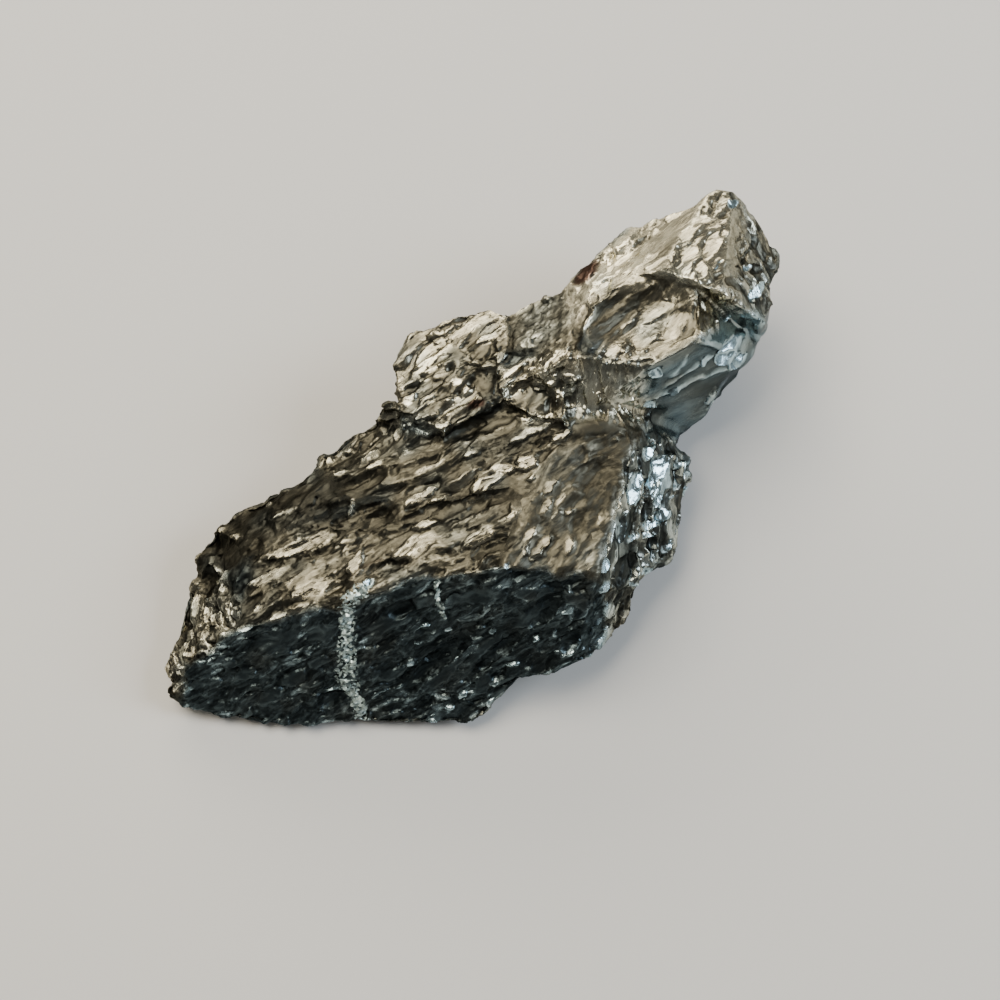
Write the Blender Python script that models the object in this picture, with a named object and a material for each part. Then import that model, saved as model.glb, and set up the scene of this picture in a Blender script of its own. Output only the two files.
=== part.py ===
# Shungite specimen: one loose piece of glassy black rock, lying on its flattest side.
# Metres, +Z up, +X along the stone. The origin is on the resting face, under the middle.

import math

import bmesh
import bpy
from mathutils import Vector

MM = 0.001

# Driving dimensions, in millimetres and degrees.
# A facet is a point on it, its dip from level, and the way it faces, counted from +X towards +Y.
BLANK_HEIGHT = 30.0          # taller than the stone, so only facets shape the top
BLOCK_SIZE = 240.0           # rough cube that each hump is cut from
FOOT_INSET = 1.0             # the sides run in by this much under the rim
FOOT_INSET_PER_HEIGHT = 0.22 # and by this much more for each millimetre of rim height
FOOT_SMOOTHING = 6           # rounds that take the notches of the rim out of the foot

# The widest line round the stone, seen from above clockwise, with its height
RIM = [
    (37.7, 5.5, 15.0), (37.7, 2.0, 13.0), (36.8, 1.0, 12.0), (34.0, -0.5, 10.5), (32.9, -2.3, 9.0),
    (30.2, -3.9, 8.0), (27.6, -4.9, 7.0), (24.7, -5.0, 6.0), (23.0, -5.7, 5.5), (19.7, -5.7, 5.5),
    (18.6, -6.2, 5.5), (18.8, -8.0, 5.5), (17.9, -9.2, 5.5), (13.0, -12.9, 5.0), (11.6, -14.6, 4.5),
    (6.4, -15.0, 4.5), (4.8, -16.0, 5.0), (3.9, -17.2, 5.0), (1.1, -17.9, 5.5), (-2.9, -18.0, 5.0),
    (-6.1, -17.2, 5.0), (-9.2, -15.3, 4.5), (-13.1, -15.5, 2.5), (-15.6, -15.4, 1.8), (-22.8, -9.9, 1.5),
    (-24.8, -7.6, 1.5), (-28.5, -5.7, 1.5), (-32.4, -2.8, 1.5), (-33.4, -1.5, 1.5), (-33.5, -0.4, 1.5),
    (-35.1, 0.3, 1.5), (-35.7, 2.2, 1.5), (-37.2, 3.8, 1.5), (-37.8, 5.7, 1.5), (-36.7, 6.8, 2.0),
    (-36.4, 8.2, 2.5), (-33.1, 10.1, 3.5), (-30.3, 12.3, 4.0), (-29.6, 13.3, 4.5), (-28.3, 13.8, 5.0),
    (-27.5, 15.3, 5.0), (-23.8, 15.9, 6.0), (-17.8, 15.0, 7.0), (-15.5, 13.9, 7.5), (-12.9, 14.0, 8.0),
    (-11.4, 14.5, 8.5), (-8.2, 14.5, 9.0), (-5.3, 13.8, 9.5), (-3.2, 13.8, 10.0), (-2.5, 12.9, 11.0),
    (-0.8, 16.1, 12.0), (1.1, 17.5, 12.5), (2.8, 18.0, 12.5), (8.0, 16.1, 13.5), (10.5, 14.7, 14.0),
    (10.9, 13.6, 14.0), (12.1, 12.9, 14.5), (14.0, 12.7, 15.0), (16.7, 11.3, 15.5), (20.3, 12.0, 16.5),
    (26.4, 12.1, 16.5), (32.3, 10.2, 17.5), (35.6, 10.1, 17.0), (37.0, 8.8, 16.5), (37.3, 7.5, 15.5),
]

# The long fresh break along the front and the slope of the left end, which bound the whole stone
BREAKS = {
    "front_left": ((-26.0, 0.2, 7.3), 45, -135),
    "front_middle": ((-13.9, -6.5, 9.6), 46, -129.5),
    "left_end": ((-31.3, 7.9, 6.0), 40, 136),
}

# The humps of the stone, each bounded by its facets
HUMPS = {
    "body": {
        "left_slope": ((-21.0, 7.3, 10.1), 19, 144),
        "back_slope": ((-9.2, 12.0, 10.9), 38, 96),
        "top": ((-9.4, 0.9, 13.6), 11, 141),
        "top_right": ((2.8, -7.1, 15.3), 8, -96),
        "right_side": ((10.7, -9.5, 12.2), 58.5, -55.5),
        "notch_side": ((17.4, -6.3, 8.5), 57, -20),
        "front_corner": ((1.9, -16.1, 8.1), 67, -80),
    },
    "left_end": {
        "back": ((-20.7, 12.0, 8.7), 37, 104.5),
        "top": ((-21.2, 5.4, 10.6), 16, 135),
        "inner": ((-16.4, 1.2, 4.0), 90, -37),
    },
    "left_shoulder": {
        "top": ((4.1, 11.2, 15.1), 16, 115),
        "step_left": ((-2.4, 9.2, 13.6), 67, -165),
        "step_front": ((2.0, 6.3, 15.0), 73.5, -102),
        "inner": ((11.4, 12.9, 8.0), 90, -38),
    },
    "right_shoulder": {
        "top": ((8.2, 6.0, 17.0), 7.5, 161),
        "back": ((13.1, 9.0, 17.4), 32, 90),
        "step_front": ((6.7, 2.9, 15.9), 69.5, -153),
        "step_left": ((7.8, 11.0, 14.7), 76, 134),
        "step_right": ((10.7, 1.8, 16.0), 56, -36),
    },
    "arm": {
        "top": ((19.7, 3.2, 20.4), 4.5, -179),
        "back": ((23.6, 9.3, 18.7), 39, 86),
        "under_plate": ((28.0, 6.2, 19.6), 19.5, 35),
        "tip_side": ((33.6, -0.4, 13.3), 71.5, -62),
        "glassy_right": ((26.7, -0.7, 18.0), 55, -35),
        "glassy_front": ((21.8, -2.8, 16.8), 77, -104),
        "cliff": ((14.6, 0.5, 18.7), 44.5, -138),
        "left": ((15.9, 8.2, 18.6), 39.5, 115.5),
    },
    "plate": {
        "top": ((27.7, 5.9, 20.6), 19.5, 35),
        "lip": ((24.6, 4.5, 21.1), 88, -144),
        "back": ((23.6, 9.3, 18.9), 38, 86.5),
        "tip": ((34.9, 3.4, 16.3), 47.5, -28),
        "left": ((21.3, 9.0, 19.0), 62, 118),
    },
}

# Shell-like hollows: a point on the facet, its dip and facing, then length, width, depth and
# the way the long side runs
HOLLOWS = {
    "oval_dish": ((19.9, 3.1, 20.4), 4, -179, 12.0, 8.0, 1.0, -30),
    "front_dish": ((-13.4, -7.9, 8.8), 46, -129, 22.0, 13.0, 0.6, -33),
    "ridge_lens": ((-13.4, 0.3, 13.0), 11, 141, 5.2, 2.0, 0.3, -23),
    "shoulder_dish": ((7.7, 4.0, 17.0), 8, 161, 6.2, 3.4, 0.8, -58),
}
HOLLOW_CHORD = 0.745         # width of a hollow's ball at the facet, over its full width

COLOUR = (0.028, 0.027, 0.026, 1.0)
ROUGHNESS = 0.34
METALLIC = 0.35


def remove_everything():
    for thing in list(bpy.data.objects):
        bpy.data.objects.remove(thing, do_unlink=True)


def new_collection(name):
    collection = bpy.data.collections.new(name)
    bpy.context.scene.collection.children.link(collection)
    return collection


def new_object(name, bm, collection):
    """Turn a bmesh into an object in a collection, with its faces pointing out."""
    bmesh.ops.recalc_face_normals(bm, faces=bm.faces[:])
    mesh = bpy.data.meshes.new(name)
    bm.to_mesh(mesh)
    bm.free()
    thing = bpy.data.objects.new(name, mesh)
    collection.objects.link(thing)
    return thing


def millimetres(x, y, z):
    return Vector((x, y, z)) * MM


def facet_normal(dip, facing):
    dip, facing = math.radians(dip), math.radians(facing)
    return Vector((math.sin(dip) * math.cos(facing), math.sin(dip) * math.sin(facing), math.cos(dip)))


def cut_facet(bm, point, dip, facing):
    """Cut off what stands in front of a facet, and close the cut."""
    everything = bm.verts[:] + bm.edges[:] + bm.faces[:]
    cut = bmesh.ops.bisect_plane(bm, geom=everything, plane_co=millimetres(*point),
                                 plane_no=facet_normal(dip, facing), clear_outer=True)
    rim = [part for part in cut["geom_cut"] if isinstance(part, bmesh.types.BMEdge)]
    bmesh.ops.holes_fill(bm, edges=rim, sides=0)


def hump(name, facets, collection):
    """A rough cube with each of a hump's facets cut from it."""
    bm = bmesh.new()
    bmesh.ops.create_cube(bm, size=BLOCK_SIZE * MM)
    for facet in facets.values():
        cut_facet(bm, *facet)
    return new_object(name, bm, collection)


def smoothed(ring, rounds):
    for _ in range(rounds):
        ring = [(before + 2 * here + after) / 4
                for before, here, after in zip(ring[-1:] + ring[:-1], ring, ring[1:] + ring[:1])]
    return ring


def foot_ring(rim):
    """The edge of the resting face: the rim, smoothed, drawn in and laid flat."""
    soft = smoothed(rim, FOOT_SMOOTHING)
    ring = []
    for before, here, after in zip(soft[-1:] + soft[:-1], soft, soft[1:] + soft[:1]):
        along = (after - before).to_2d().normalized()
        inset = FOOT_INSET * MM + here.z * FOOT_INSET_PER_HEIGHT
        ring.append(Vector((here.x + along.y * inset, here.y - along.x * inset, 0.0)))
    return smoothed(ring, FOOT_SMOOTHING)


def outline_blank(collection):
    """The stone's outline as a block: in to the foot below the rim, straight up above it."""
    rim = [millimetres(*point) for point in RIM]
    top = [Vector((point.x, point.y, BLANK_HEIGHT * MM)) for point in rim]
    bm = bmesh.new()
    rings = []
    for points in (foot_ring(rim), rim, top):
        verts = [bm.verts.new(point) for point in points]
        rings.append([bm.edges.new(pair) for pair in zip(verts, verts[1:] + verts[:1])])
    bmesh.ops.bridge_loops(bm, edges=rings[0] + rings[1])
    bmesh.ops.bridge_loops(bm, edges=rings[1] + rings[2])
    bmesh.ops.holes_fill(bm, edges=rings[0] + rings[2], sides=0)
    bmesh.ops.triangulate(bm, faces=bm.faces[:])
    for facet in BREAKS.values():
        cut_facet(bm, *facet)
    return new_object("outline_blank", bm, collection)


def hollow(name, point, dip, facing, length, width, depth, heading, collection):
    """A flattened ball that dips into a facet by its depth."""
    up = facet_normal(dip, facing)
    heading = math.radians(heading)
    level = Vector((math.cos(heading), math.sin(heading), 0.0))
    along = (level - up * level.dot(up)).normalized()
    across = up.cross(along)
    centre = millimetres(*point) + up * (2 * depth * MM)
    bm = bmesh.new()
    bmesh.ops.create_icosphere(bm, subdivisions=4, radius=MM)
    for vert in bm.verts:
        x, y, z = vert.co
        vert.co = (centre + along * (x * length / 2 / HOLLOW_CHORD)
                   + across * (y * width / 2 / HOLLOW_CHORD) + up * (z * 3 * depth))
    return new_object(name, bm, collection)


def add_boolean(target, operation, tool):
    boolean = target.modifiers.new(f"{operation.lower()}_{tool.name}", "BOOLEAN")
    boolean.operation = operation
    boolean.solver = "EXACT"
    boolean.object = tool
    tool.hide_render = True
    tool.display_type = "WIRE"


def shungite_material():
    material = bpy.data.materials.new("shungite")
    material.use_nodes = True
    shader = material.node_tree.nodes["Principled BSDF"]
    shader.inputs["Base Color"].default_value = COLOUR
    shader.inputs["Roughness"].default_value = ROUGHNESS
    shader.inputs["Metallic"].default_value = METALLIC
    material.diffuse_color = COLOUR
    return material


def build():
    remove_everything()
    specimen = new_collection("shungite_specimen")
    cutters = new_collection("cutters")
    humps = [hump(name, facets, cutters) for name, facets in HUMPS.items() if name != "body"]
    stone = hump("stone", HUMPS["body"], specimen)
    for piece in humps:
        add_boolean(stone, "UNION", piece)
    add_boolean(stone, "INTERSECT", outline_blank(cutters))
    for name, size in HOLLOWS.items():
        add_boolean(stone, "DIFFERENCE", hollow(name, *size, cutters))
    stone.data.materials.append(shungite_material())


build()
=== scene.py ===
import itertools
import math

import bmesh
import bpy
import numpy as np
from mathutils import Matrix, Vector


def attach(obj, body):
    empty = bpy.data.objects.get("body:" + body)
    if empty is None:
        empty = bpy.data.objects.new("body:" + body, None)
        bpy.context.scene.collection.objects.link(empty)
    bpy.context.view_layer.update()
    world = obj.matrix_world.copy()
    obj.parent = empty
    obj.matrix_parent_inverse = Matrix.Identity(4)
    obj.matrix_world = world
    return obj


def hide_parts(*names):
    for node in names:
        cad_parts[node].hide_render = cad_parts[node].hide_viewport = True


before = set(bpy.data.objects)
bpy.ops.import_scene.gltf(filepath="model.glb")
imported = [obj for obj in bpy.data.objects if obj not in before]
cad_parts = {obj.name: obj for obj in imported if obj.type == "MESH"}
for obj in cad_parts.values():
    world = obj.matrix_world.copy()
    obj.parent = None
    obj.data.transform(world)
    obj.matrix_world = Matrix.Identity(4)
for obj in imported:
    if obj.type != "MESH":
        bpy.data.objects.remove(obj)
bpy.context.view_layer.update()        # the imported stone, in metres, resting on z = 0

mm = 0.001

# how the viewer stands to the stone; places on it are given as seen from there
view = {
    "azimuth": -38.0,
    "elevation": 75.0,
    "distance": 230 * mm,
    "aim": (0.1 * mm, -0.2 * mm, 9.0 * mm),
    "lens": 82.8,
    "nearest": 10 * mm,
}
turn = math.radians(-view["azimuth"])
upright = np.array([0.0, 0.0, 1.0])


def planDirection(heading, rise=0.0):
    # heading in degrees from the viewer's right, rise in degrees from level
    angle, climb = math.radians(heading) - turn, math.radians(rise)
    return np.array([math.cos(climb) * math.cos(angle), math.cos(climb) * math.sin(angle), math.sin(climb)])


toViewer = planDirection(-90, view["elevation"])
eye = np.array(view["aim"]) + toViewer * view["distance"]


def asSeen(points):
    # millimetres to the right and up from the middle of the view
    rays = points - eye
    depth = -(rays @ toViewer)
    right = planDirection(0)
    up = np.cross(toViewer, right)
    scale = view["distance"] / mm / depth
    return np.stack([rays @ right * scale, rays @ up * scale], axis=1)


def makeCamera():
    camera = bpy.data.objects.new("camera", bpy.data.cameras.new("camera"))
    bpy.context.scene.collection.objects.link(camera)
    camera.location = Vector(eye)
    camera.rotation_euler = Vector(toViewer).to_track_quat("Z", "Y").to_euler()
    camera.data.lens = view["lens"]
    camera.data.clip_start = view["nearest"]
    bpy.context.scene.camera = camera
    print("camera placed")


studio = {
    "floorSize": 6.0,
    "floorColour": (0.70, 0.69, 0.67, 1),
    "floorRoughness": 0.75,
    "worldColour": (0.165, 0.162, 0.152, 1),
    # heading and height as seen from the stone, distance, width, length, watts, colour
    "lamps": {
        "window": (141, 63, 0.50, 0.34, 0.34, 2.7, (1.0, 0.91, 0.75)),
        "farWindow": (105, 24, 0.60, 0.56, 0.22, 2.4, (1.0, 0.91, 0.75)),
        "coolSide": (5, 38, 0.55, 0.22, 0.30, 2.2, (0.80, 0.90, 1.0)),
    },
}


def makeStudio():
    bm = bmesh.new()
    bmesh.ops.create_grid(bm, x_segments=1, y_segments=1, size=studio["floorSize"] / 2)
    mesh = bpy.data.meshes.new("floor")
    bm.to_mesh(mesh)
    bm.free()
    floor = bpy.data.objects.new("floor", mesh)
    bpy.context.scene.collection.objects.link(floor)
    paint = bpy.data.materials.new("paleFloor")
    paint.use_nodes = True
    sockets = paint.node_tree.nodes["Principled BSDF"].inputs
    sockets["Base Color"].default_value = studio["floorColour"]
    sockets["Roughness"].default_value = studio["floorRoughness"]
    floor.data.materials.append(paint)
    world = bpy.data.worlds.new("studio")
    bpy.context.scene.world = world
    world.use_nodes = True
    world.node_tree.nodes["Background"].inputs["Color"].default_value = studio["worldColour"]
    for name, (heading, height, away, width, length, watts, colour) in studio["lamps"].items():
        lamp = bpy.data.lights.new(name, "AREA")
        lamp.shape = "RECTANGLE"
        lamp.size, lamp.size_y = width, length
        lamp.energy = watts
        lamp.color = colour
        holder = bpy.data.objects.new(name, lamp)
        bpy.context.scene.collection.objects.link(holder)
        aim = Vector(view["aim"])
        holder.location = aim + Vector(planDirection(heading, height)) * away
        holder.rotation_euler = (holder.location - aim).to_track_quat("Z", "Y").to_euler()
    print("studio lit")


# where each pattern's random numbers start; every zone has a run of its own
seeds = {
    "zoneEdge": 3,
    "chip": 41,
    "waver": 71,
    "grain": 100,
    "grainRun": 60,
    "veinGrains": 907,
    "veinBreaks": 911,
    "tint": 917,
}


def cellNumbers(cells, seed, count):
    # even random numbers, always the same ones for the same cell; the multipliers only stir the bits
    whole = cells.astype(np.int64).astype(np.uint32)
    mixed = whole[:, 0] * np.uint32(73856093) ^ whole[:, 1] * np.uint32(19349663)
    mixed = mixed ^ whole[:, 2] * np.uint32(83492791) ^ np.uint32(seed * 2654435761 % 2**32)
    numbers = []
    for step in range(count):
        mixed = (mixed ^ mixed >> np.uint32(15)) * np.uint32(739982445)
        mixed = (mixed ^ mixed >> np.uint32(12)) * np.uint32(695872825)
        mixed = mixed ^ mixed >> np.uint32(15)
        numbers.append(mixed / 2**32)
        mixed = mixed + np.uint32(2654435769)
    return numbers


def softNoise(points, seed):
    base = np.floor(points)
    part = points - base
    ease = part**3 * (part * (6 * part - 15) + 10)
    total = np.zeros(len(points))
    for corner in itertools.product((0, 1), repeat=3):
        weight = np.prod(np.where(corner, ease, 1 - ease), axis=1)
        total += weight * cellNumbers(base + corner, seed, 1)[0]
    return 2 * total - 1                      # -1 to 1


def wander(points, seed):
    # soft noise in three directions, shifted so that no two match
    apart = 31.7
    return np.stack([softNoise(points + apart * k, seed + k) for k in range(3)], axis=1)


# how flakes and scars differ from their neighbours
flakeShape = {
    "scarLean": 1.1,
    "scarUneven": 0.5,
    "planeLean": 1.2,
    "planeLift": 0.28,
    "crisp": 34.0,         # higher makes the ramps between flakes shorter
    "toneCrisp": 3,        # and the change of tone shorter still
    "shed": 1.5,           # how far dark flakes lean towards the viewer
}


def flakeScars(points, seed):
    # shallow bowls, each tilted its own way: the lowest one shows, with sharp rims between
    base = np.floor(points)
    lowest = np.full(len(points), 1e9)
    for corner in itertools.product((-1, 0, 1), repeat=3):
        cell = base + corner
        chance = cellNumbers(cell, seed, 7)
        away = [points[:, k] - cell[:, k] - chance[k] for k in range(3)]
        near = away[0]**2 + away[1]**2 + away[2]**2
        tilt = sum((chance[3 + k] * 2 - 1) * away[k] for k in range(3))
        bowl = near * near + flakeShape["scarLean"] * tilt + flakeShape["scarUneven"] * chance[6]
        lowest = np.minimum(lowest, bowl)
    return lowest


def brokenPlanes(points, seed, shed=0.0):
    # flat flakes, each at its own tilt and height, with short ramps between, and each flake's own tone
    base = np.floor(points)
    total, tone = np.zeros(len(points)), np.zeros(len(points))
    # the shares divide the totals, so they start a trace above zero
    share, toneShare = np.full(len(points), 1e-9), np.full(len(points), 1e-30)
    for corner in itertools.product((-1, 0, 1), repeat=3):
        cell = base + corner
        chance = cellNumbers(cell, seed, 8)
        away = [points[:, k] - cell[:, k] - chance[k] for k in range(3)]
        weight = np.exp(-flakeShape["crisp"] * (away[0]**2 + away[1]**2 + away[2]**2))
        toneWeight = weight**flakeShape["toneCrisp"]
        tilt = sum((chance[3 + k] * 2 - 1) * away[k] for k in range(3))
        lift = flakeShape["planeLift"] * (chance[6] * 2 - 1)
        total += weight * (flakeShape["planeLean"] * tilt + lift - shed * (1 - chance[7]) * away[1])
        tone += toneWeight * chance[7]
        share += weight
        toneShare += toneWeight
    return total / share, tone / toneShare


def smoothStep(low, high, value):
    t = np.clip((value - low) / (high - low), 0, 1)
    return t * t * (3 - 2 * t)


def stretchReach(spots, start, end):
    # distance from the straight stretch between two points, and how far along it
    run = end - start
    share = np.clip(((spots - start) @ run) / (run @ run), 0, 1)
    return np.hypot(*(spots - start - share[:, None] * run).T), share


def inside(spots, outline, soft):
    # 1 well inside the outline, 0 well outside, easing over the soft width
    corners = np.array(outline, float)
    result = np.zeros(len(spots))
    low, high = corners.min(0) - soft, corners.max(0) + soft
    close = np.where(((spots > low) & (spots < high)).all(1))[0]
    spot = spots[close]
    nearest = np.full(len(close), 1e9)
    within = np.zeros(len(close), bool)
    for start, end in zip(corners, np.roll(corners, -1, axis=0)):
        run = end - start
        nearest = np.minimum(nearest, stretchReach(spot, start, end)[0])
        crosses = (start[1] > spot[:, 1]) != (end[1] > spot[:, 1])
        level = start[0] + (spot[:, 1] - start[1]) * run[0] / (run[1] if run[1] else 1e-9)
        within ^= crosses & (spot[:, 0] < level)
    result[close] = smoothStep(-soft, soft, np.where(within, nearest, -nearest))
    return result


# parts of the surface: outline as seen, grain heading and rise in degrees, flake length and width,
# how deep the scars, broken planes and fine scars go, and how far the ground swells, in millimetres
zones = {
    "front": {
        "outline": [(-31.5, -16.6), (-26.8, -13.2), (-21.5, -11.7), (-16, -11), (-10, -8.5),
                    (0, -6.6), (6, -7.7), (9.8, -7.8), (10.6, -10), (10.3, -15.5), (5.6, -20),
                    (0, -21.5), (-3, -25), (-20, -25.5), (-33.5, -23), (-32, -19.5)],
        "swell": 0.45, "grain": (28, 24), "flake": (2.2, 0.85), "depths": (0.26, 0.2, 0.07)},
    "leftEnd": {
        "outline": [(-36, -20.5), (-33, -11), (-32.5, -7.5), (-28.5, -7.2), (-26, -10), (-26.8, -13.2),
                    (-31.5, -16.6), (-32, -19.5)],
        "grain": (70, -20), "flake": (1.7, 1.1), "depths": (0.4, 0.38, 0.1)},
    "farLeft": {
        "outline": [(-32.5, -7.5), (-31.5, -2.5), (-23.5, 2.5), (-18, 3), (-15, 0), (-20, -2),
                    (-25, -6), (-28.5, -8)],
        "grain": (35, 0), "flake": (3.4, 1.7), "depths": (0.36, 0.22, 0.05)},
    "topWarm": {
        "outline": [(-26, -10), (-25, -6), (-20, -2), (-10, 0), (2, 0), (0, -6.6), (-10, -8.5),
                    (-16, -11), (-21.5, -11.7), (-26.5, -13)],
        "grain": (26, 6), "flake": (3.6, 1), "depths": (0.2, 0.24, 0.06)},
    "topDark": {
        "outline": [(-18, 3), (-15, 0), (-10, 0), (2, 0), (7.5, 7.2), (0, 9.5), (-5.5, 6), (-10, 6)],
        "grain": (24, 6), "flake": (4.4, 1.15), "depths": (0.26, 0.24, 0.06)},
    "topRight": {
        "outline": [(2, 0), (0, -6.6), (6, -7.7), (9.8, -7.8), (12.8, 3), (14.5, 7.5), (11, 8.5),
                    (7.5, 7.2)],
        "grain": (38, 0), "flake": (2, 1.2), "depths": (0.14, 0.12, 0.04)},
    "splinter": {
        "outline": [(-18, 2.5), (-21, 3.5), (-11, 11), (-10, 7), (-5.5, 6), (-10, 4.5)],
        "grain": (33, 0), "flake": (5.4, 0.65), "depths": (0.4, 0.34, 0.05)},
    "shoulder": {
        "outline": [(-10.2, 8.8), (-11.5, 13), (-9.5, 18.5), (0, 20.5), (0.8, 15.5), (0, 13), (0, 9.5),
                    (-5.5, 6)],
        "grain": (30, 0), "flake": (4.4, 1), "depths": (0.34, 0.3, 0.07)},
    "pitted": {
        "outline": [(0.5, 15.5), (0.8, 20), (6, 22.5), (8, 20), (7.8, 15.5), (4, 15)],
        "swell": 0.1, "grain": (40, 0), "flake": (1, 0.6), "depths": (0.1, 0.1, 0.05)},
    "shoulderFront": {
        "outline": [(0, 13), (4, 15), (7.8, 15.5), (8, 14), (7.5, 7.2), (4.5, 7.5), (0, 9.5)],
        "grain": (45, 0), "flake": (2.2, 0.8), "depths": (0.26, 0.22, 0.07)},
    "cliff": {
        "outline": [(8, 14.5), (15, 13.6), (14.5, 7.5), (11, 8.2), (7.5, 7.2)],
        "grain": (88, 44), "flake": (3, 0.7), "depths": (0.24, 0.2, 0.06)},
    "dish": {
        "outline": [(7.8, 17), (10, 21.5), (14, 22.6), (19.7, 21.5), (20.3, 15.8), (15, 13.4),
                    (10, 14.2)],
        "swell": 0.1, "grain": (38, 0), "flake": (3.2, 1.2), "depths": (0.12, 0.12, 0.03)},
    "longFacet": {
        "outline": [(5.5, 21.5), (13.5, 28), (15, 25), (14, 22.6), (10, 21), (7.8, 17)],
        "grain": (45, 0), "flake": (3.4, 1.2), "depths": (0.16, 0.14, 0.03)},
    "plate": {
        "outline": [(13.5, 27.5), (20, 31), (24, 32), (24.2, 28.5), (23.5, 21.2), (20, 21.2),
                    (14, 22.8)],
        "grain": (42, 0), "flake": (4.2, 2.2), "depths": (0.16, 0.12, 0.03)},
    "tip": {
        "outline": [(24.2, 30.5), (29.5, 25), (27.5, 18.6), (26, 18.9), (22.9, 18.8), (23.5, 21.6)],
        "grain": (-45, 0), "flake": (2.2, 1.1), "depths": (0.26, 0.24, 0.05)},
    "column": {
        "outline": [(19.8, 21.4), (20.1, 16.4), (21, 16.6), (22.7, 18.7), (23.5, 21.6)],
        "grain": (80, 30), "flake": (1.6, 1.1), "depths": (0.2, 0.24, 0.05)},
    "glassRight": {
        "outline": [(22.6, 18.6), (26, 18.9), (27.5, 18.6), (26.6, 14.5), (24.5, 13), (21.5, 14.8),
                    (20.6, 15.6), (21, 16.6)],
        "swell": 0.4, "grain": (35, 0), "flake": (6, 3), "depths": (0.4, 0.05, 0.01)},
    "glassFront": {
        "outline": [(20.3, 16), (21.5, 14.8), (24.5, 13), (26.6, 14.5), (25, 11), (21, 7),
                    (18.4, 5.5), (15.5, 7.5), (14.5, 11), (15, 13.4)],
        "swell": 0.4, "grain": (42, 0), "flake": (7, 3.4), "depths": (0.45, 0.05, 0.01)},
    "rightSide": {
        "outline": [(12.8, 3), (14.5, 7.5), (18.4, 6), (20.5, 3), (19.5, -5), (15, -9.2), (10, -7.8)],
        "grain": (82, 30), "flake": (3.4, 1.4), "depths": (0.4, 0.4, 0.07)},
    "corner": {
        "outline": [(9.8, -7.8), (14.5, -9), (14.5, -14), (10.3, -16.5), (10.6, -10)],
        "grain": (75, 40), "flake": (1.8, 0.9), "depths": (0.26, 0.24, 0.08)},
}
hiddenGrain = {"swell": 0.6, "grain": (40, 10), "flake": (4.2, 1.8), "depths": (0.46, 0.32, 0.08)}

stoneShape = {
    "voxel": 0.15 * mm,
    "spareBase": 1.2 * mm,    # carved with the rest, then cut off flat
    "faceBudget": 225000,
    "creaseAngle": 52,
    "spike": 0.09 * mm,       # a point standing further than this from its neighbours is drawn in
    "spikeRounds": 12,
}


def fineCopy(node, name):
    # the solid's mesh, merged, made longer below its base and turned into small even faces
    bm = bmesh.new()
    bm.from_mesh(node.data)
    bmesh.ops.remove_doubles(bm, verts=bm.verts[:], dist=1e-7)
    base = [face for face in bm.faces if all(vert.co.z < 1e-6 for vert in face.verts)]
    spare = [part for part in bmesh.ops.extrude_face_region(bm, geom=base)["geom"]
             if isinstance(part, bmesh.types.BMVert)]
    bmesh.ops.translate(bm, verts=spare, vec=(0, 0, -stoneShape["spareBase"]))
    bmesh.ops.delete(bm, geom=base, context="FACES_ONLY")
    mesh = bpy.data.meshes.new(name)
    bm.to_mesh(mesh)
    bm.free()
    piece = bpy.data.objects.new(name, mesh)
    bpy.context.scene.collection.objects.link(piece)
    remesh = piece.modifiers.new("remesh", "REMESH")
    remesh.mode = "VOXEL"
    remesh.voxel_size = stoneShape["voxel"]
    applyModifiers(piece)
    return piece


def applyModifiers(piece):
    shown = piece.evaluated_get(bpy.context.evaluated_depsgraph_get())
    mesh = bpy.data.meshes.new_from_object(shown)
    old = piece.data
    piece.modifiers.clear()
    piece.data = mesh
    bpy.data.meshes.remove(old)


def readPoints(mesh):
    points = np.empty(len(mesh.vertices) * 3, np.float32)
    mesh.vertices.foreach_get("co", points)
    return points.reshape(-1, 3).astype(float)


def readNormals(mesh):
    normals = np.empty(len(mesh.vertices) * 3, np.float32)
    mesh.vertex_normals.foreach_get("vector", normals)
    return normals.reshape(-1, 3).astype(float)


def writePoints(mesh, points):
    mesh.vertices.foreach_set("co", points.astype(np.float32).ravel())
    mesh.update()


def looseBits(bm):
    # every point that isn't joined to the largest piece
    left, pieces = set(bm.verts), []
    while left:
        front = [left.pop()]
        piece = set(front)
        while front:
            near = [edge.other_vert(vert) for vert in front for edge in vert.link_edges]
            front = [vert for vert in set(near) if vert in left]
            left.difference_update(front)
            piece.update(front)
        pieces.append(piece)
    pieces.sort(key=len)
    return [vert for piece in pieces[:-1] for vert in piece]


def cutFlat(piece):
    # takes away what is below the base, closes the cut and drops the crumbs
    bm = bmesh.new()
    bm.from_mesh(piece.data)
    bmesh.ops.bisect_plane(bm, geom=bm.verts[:] + bm.edges[:] + bm.faces[:], dist=1e-7,
                           plane_co=(0, 0, 0), plane_no=(0, 0, -1), clear_outer=True)
    rim = [edge for edge in bm.edges if edge.is_boundary]
    caps = bmesh.ops.holes_fill(bm, edges=rim, sides=0)["faces"]
    bmesh.ops.recalc_face_normals(bm, faces=caps)
    turned = [face for face in caps if face.normal.z > 0]
    bmesh.ops.reverse_faces(bm, faces=turned)
    bmesh.ops.triangulate(bm, faces=bm.faces[:])
    bmesh.ops.delete(bm, geom=looseBits(bm), context="VERTS")
    bm.to_mesh(piece.data)
    bm.free()


def edgeEnds(mesh):
    ends = np.empty(len(mesh.edges) * 2, np.int32)
    mesh.edges.foreach_get("vertices", ends)
    return ends.reshape(-1, 2)


def neighbourMean(ends, values):
    # the mean of what each point's neighbours have
    near = (np.bincount(ends[:, 0], values[ends[:, 1]], len(values))
            + np.bincount(ends[:, 1], values[ends[:, 0]], len(values)))
    return near / np.bincount(ends.ravel(), minlength=len(values))


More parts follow.
